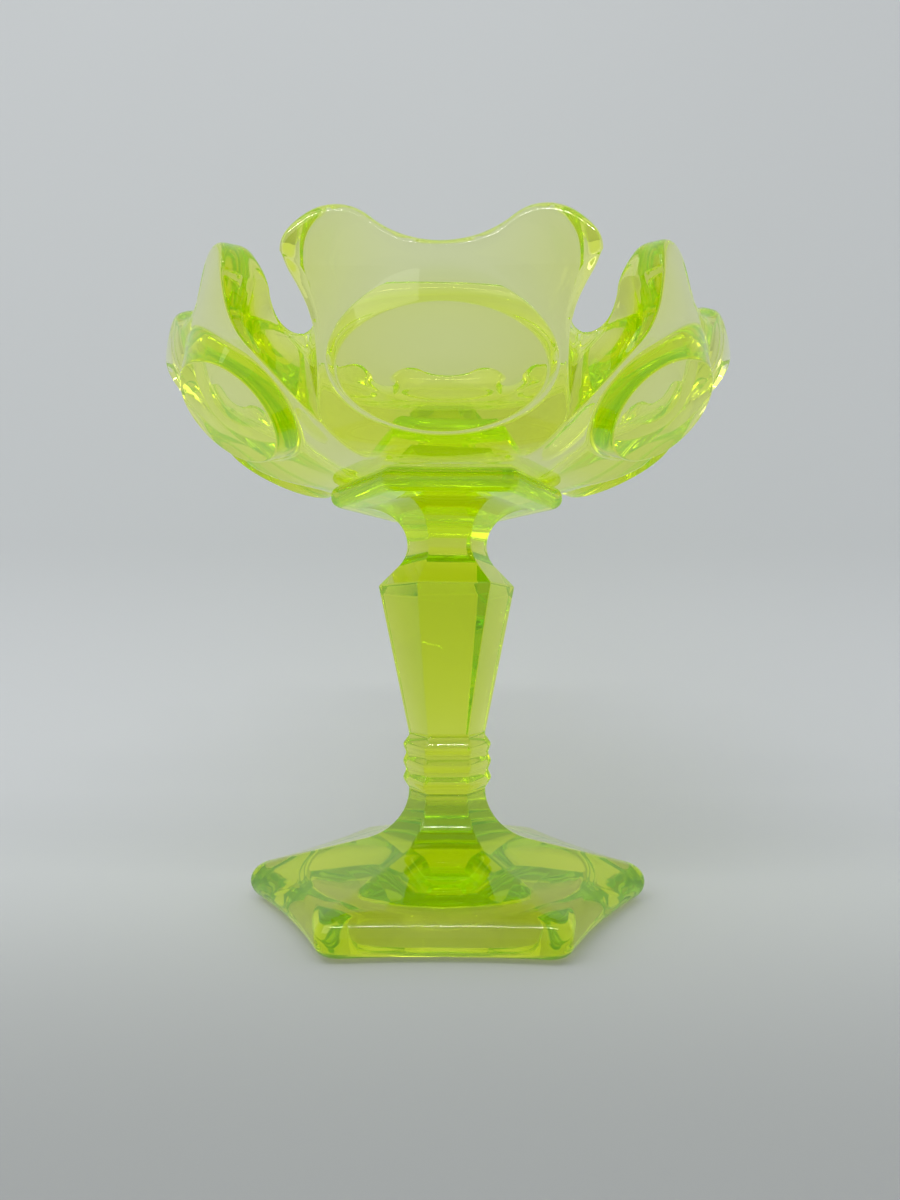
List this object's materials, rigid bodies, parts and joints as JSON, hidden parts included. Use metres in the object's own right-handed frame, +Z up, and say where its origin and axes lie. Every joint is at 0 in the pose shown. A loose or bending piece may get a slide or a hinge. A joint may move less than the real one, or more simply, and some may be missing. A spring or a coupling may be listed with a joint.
{
  "type": "footed glass dish",
  "caption": "Footed pressed-glass dish: deep flared bowl with double-lobed petals and raised oval windows, faceted stem with ringed collar, and spreading six-sided foot.",
  "frame": {"origin": "centre of the foot's resting face, on the upright axis", "axes": "+Z up along the upright axis; one petal of the bowl and one side of the foot face -Y"},
  "size_m": [0.1496, 0.1406, 0.1527],
  "materials": {
    "bowl_glass": "clear yellow-green glass, fire polished",
    "stem_glass": "clear yellow-green glass, sharp polished facets",
    "foot_glass": "clear yellow-green glass, fire polished"
  },
  "bodies": {
    "root": {"bowl": "bowl_glass", "bowl_plate": "stem_glass", "stem": "stem_glass", "ring_collar": "stem_glass", "foot": "foot_glass"}
  },
  "joints": []
}
